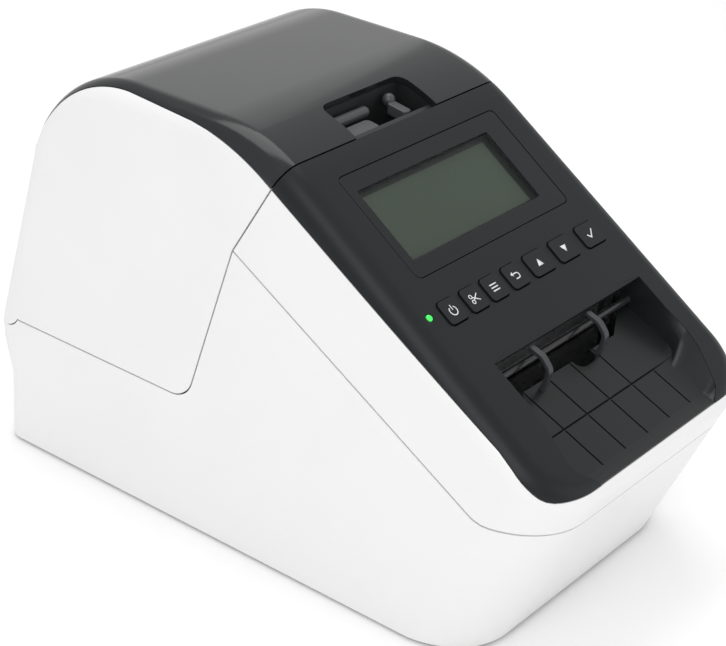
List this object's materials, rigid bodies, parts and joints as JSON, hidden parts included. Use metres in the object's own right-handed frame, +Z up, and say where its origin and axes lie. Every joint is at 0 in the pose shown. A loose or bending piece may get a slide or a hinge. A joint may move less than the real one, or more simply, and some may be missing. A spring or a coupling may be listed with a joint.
{
  "type": "label maker",
  "caption": "Desktop label printer with a hinged roll cover, sloping panel with display and push keys, label outlet with tray, feed rollers, print head and cutter.",
  "frame": {"origin": "centre of the footprint, on the surface the feet stand on", "axes": "+Z up, the front with the label outlet faces -Y, +X to the right seen from the front"},
  "size_m": [0.1252, 0.2329, 0.1452],
  "materials": {
    "white_plastic": "satin",
    "charcoal_plastic": "satin",
    "black_plastic": "matte",
    "key_plastic": "matte",
    "rib_plastic": "matte",
    "gear_plastic": "satin",
    "rubber": "matte",
    "steel": "brushed",
    "aluminium": "satin",
    "paper": "matte",
    "card": "matte",
    "board": "satin",
    "ceramic": "gloss",
    "sensor": "gloss",
    "window": "gloss",
    "display": "satin",
    "light": "gloss"
  },
  "bodies": {
    "base": {"base_plate": "black_plastic", "base_screws": "steel", "chassis_screws": "steel", "control_panel": "charcoal_plastic", "cutter_motor": "steel", "display_module": "display", "display_window": "window", "feed_motor": "steel", "fixed_blade": "steel", "front_bulkhead": "black_plastic", "front_frame": "white_plastic", "gear_posts": "steel", "head_pivot_shaft": "steel", "hinge_brackets": "steel", "key_board": "board", "label_guide": "black_plastic", "label_sensor": "sensor", "lower_case": "white_plastic", "main_board": "board", "mains_inlet": "black_plastic", "mechanism_chassis": "steel", "network_socket": "steel", "outlet_ribs": "rib_plastic", "output_tray": "black_plastic", "platen_bearings": "black_plastic", "power_supply": "board", "roll_compartment": "black_plastic", "roll_guide_left": "rib_plastic", "roll_guide_right": "rib_plastic", "rubber_feet": "rubber", "spring_plate": "steel", "status_light": "light", "usb_device_socket": "steel", "usb_host_socket": "steel"},
    "cover": {"roll_cover_shell": "white_plastic", "roll_cover_top": "charcoal_plastic", "cover_well": "black_plastic", "grip_bar": "black_plastic", "hinge_pins": "steel"},
    "roll": {"label_roll": "paper", "roll_core": "card"},
    "platen": {"platen_rubber": "rubber", "platen_shaft": "steel", "platen_gear": "gear_plastic"},
    "idler": {"idler_gear": "gear_plastic"},
    "motor_rotor": {"motor_pinion": "gear_plastic"},
    "head": {"print_head": "ceramic", "head_bracket": "aluminium", "head_springs": "steel"},
    "blade": {"moving_blade": "steel", "blade_carrier": "steel"},
    "cutter_wheel": {"cutter_gear": "gear_plastic"},
    "cutter_rotor": {"cutter_pinion": "gear_plastic"},
    "key_back_body": {"key_back": "key_plastic"},
    "key_cut_body": {"key_cut": "key_plastic"},
    "key_down_body": {"key_down": "key_plastic"},
    "key_menu_body": {"key_menu": "key_plastic"},
    "key_ok_body": {"key_ok": "key_plastic"},
    "key_power_body": {"key_power": "key_plastic"},
    "key_up_body": {"key_up": "key_plastic"}
  },
  "joints": [
    {"name": "cover_hinge", "type": "hinge", "parent": "base", "child": "cover", "pos_m": [0, 0.111, 0.05], "axis": [-1, 0, 0], "range_deg": [0, 75]},
    {"name": "roll_spin", "type": "hinge", "parent": "base", "child": "roll", "pos_m": [0, 0.056, 0.072], "axis": [1, 0, 0], "continuous": true},
    {"name": "platen_spin", "type": "hinge", "parent": "base", "child": "platen", "pos_m": [0, -0.052, 0.068], "axis": [1, 0, 0], "continuous": true},
    {"name": "idler_spin", "type": "hinge", "parent": "base", "child": "idler", "pos_m": [-0.048, -0.03006, 0.05644], "axis": [1, 0, 0], "continuous": true},
    {"name": "motor_spin", "type": "hinge", "parent": "base", "child": "motor_rotor", "pos_m": [-0.048, -0.02, 0.042], "axis": [1, 0, 0], "continuous": true},
    {"name": "head_lift", "type": "hinge", "parent": "base", "child": "head", "pos_m": [0, -0.027, 0.084], "axis": [-1, 0, 0], "range_deg": [0, 4], "stiffness_Nm_per_rad": 0.3, "deforming": ["head_springs"]},
    {"name": "blade_slide", "type": "slide", "parent": "base", "child": "blade", "axis": [0, 0, -1], "range_m": [0, 0.005]},
    {"name": "cutter_gear_spin", "type": "hinge", "parent": "base", "child": "cutter_wheel", "pos_m": [0.041, -0.057, 0.08], "axis": [1, 0, 0], "range_deg": [0, 36]},
    {"name": "cutter_motor_spin", "type": "hinge", "parent": "base", "child": "cutter_rotor", "pos_m": [0.041, -0.045, 0.08], "axis": [1, 0, 0], "range_deg": [-72, 0]},
    {"name": "back_press", "type": "slide", "parent": "base", "child": "key_back_body", "axis": [0, 0.559, -0.8292], "range_m": [0, 0.0008], "stiffness_N_per_m": 400},
    {"name": "cut_press", "type": "slide", "parent": "base", "child": "key_cut_body", "axis": [0, 0.559, -0.8292], "range_m": [0, 0.0008], "stiffness_N_per_m": 400},
    {"name": "down_press", "type": "slide", "parent": "base", "child": "key_down_body", "axis": [0, 0.559, -0.8292], "range_m": [0, 0.0008], "stiffness_N_per_m": 400},
    {"name": "menu_press", "type": "slide", "parent": "base", "child": "key_menu_body", "axis": [0, 0.559, -0.8292], "range_m": [0, 0.0008], "stiffness_N_per_m": 400},
    {"name": "ok_press", "type": "slide", "parent": "base", "child": "key_ok_body", "axis": [0, 0.559, -0.8292], "range_m": [0, 0.0008], "stiffness_N_per_m": 400},
    {"name": "power_press", "type": "slide", "parent": "base", "child": "key_power_body", "axis": [0, 0.559, -0.8292], "range_m": [0, 0.0008], "stiffness_N_per_m": 400},
    {"name": "up_press", "type": "slide", "parent": "base", "child": "key_up_body", "axis": [0, 0.559, -0.8292], "range_m": [0, 0.0008], "stiffness_N_per_m": 400}
  ],
  "couplings": [
    {"joint": "idler_spin", "follows": "platen_spin", "ratio": -0.9375},
    {"joint": "motor_spin", "follows": "platen_spin", "ratio": 2.5},
    {"joint": "cutter_gear_spin", "follows": "blade_slide", "rad_per_m": 125},
    {"joint": "cutter_motor_spin", "follows": "blade_slide", "rad_per_m": -250}
  ]
}
